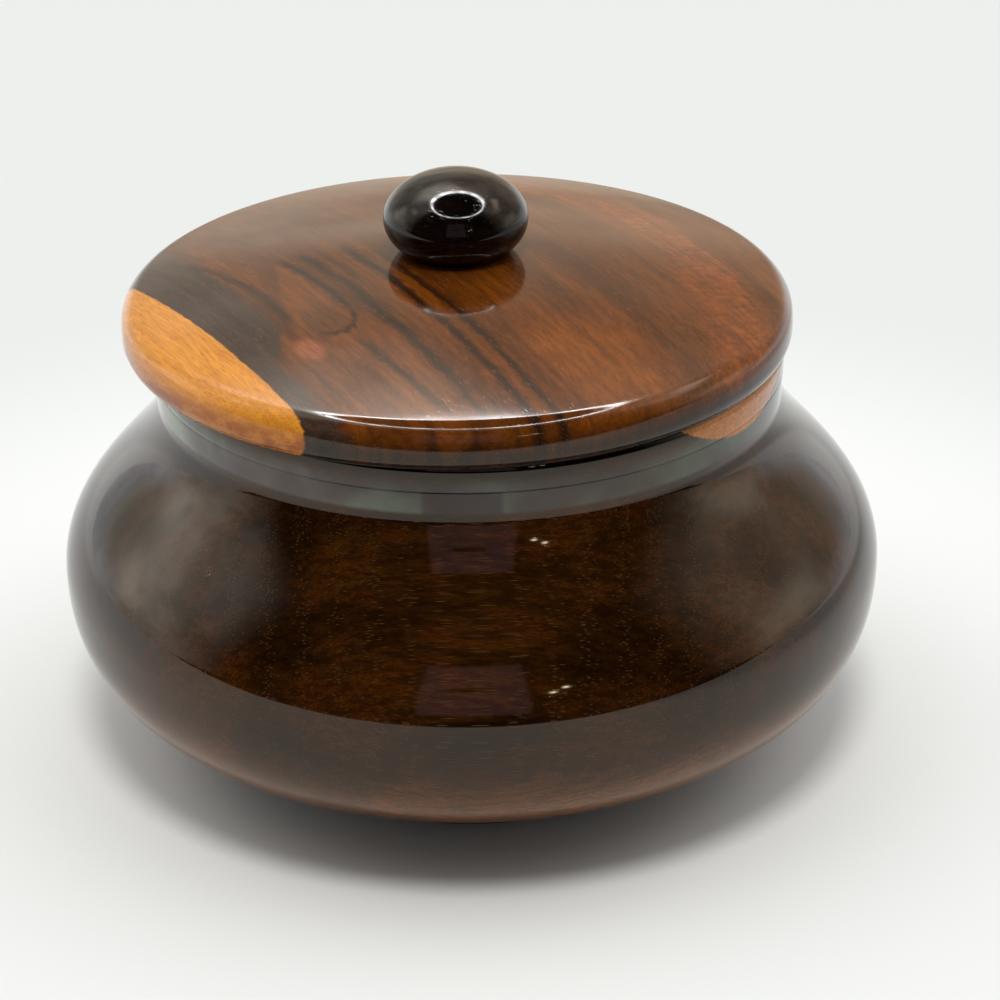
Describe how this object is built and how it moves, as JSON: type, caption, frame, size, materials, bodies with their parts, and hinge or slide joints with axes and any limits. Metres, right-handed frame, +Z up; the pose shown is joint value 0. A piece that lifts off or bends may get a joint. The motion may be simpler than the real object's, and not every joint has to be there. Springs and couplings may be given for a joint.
{
  "type": "lidded turned wooden bowl",
  "caption": "Squat turned wooden bowl with a collared mouth, a crowned lift-off lid and a bun-shaped knob, for holding trinkets.",
  "frame": {"origin": "on the table, under the middle of the foot", "axes": "+Z up along the turning axis; the picture's camera stands towards -Y, and the lid has slid towards -X in its play"},
  "size_m": [0.12, 0.12, 0.0879],
  "materials": {
    "bowl_heartwood": "glossy clear finish over very dark brown heartwood with fine open pores",
    "lid_heartwood": "glossy clear finish over striped red-brown heartwood with a patch of pale sapwood",
    "knob_dark_wood": "high gloss over nearly black wood"
  },
  "bodies": {
    "bowl": {"bowl": "bowl_heartwood"},
    "lid": {"lid": "lid_heartwood", "knob": "knob_dark_wood"}
  },
  "joints": [
    {"name": "lid_lift", "type": "slide", "parent": "bowl", "child": "lid", "axis": [0, 0, 1], "range_m": [0, 0.06]}
  ]
}
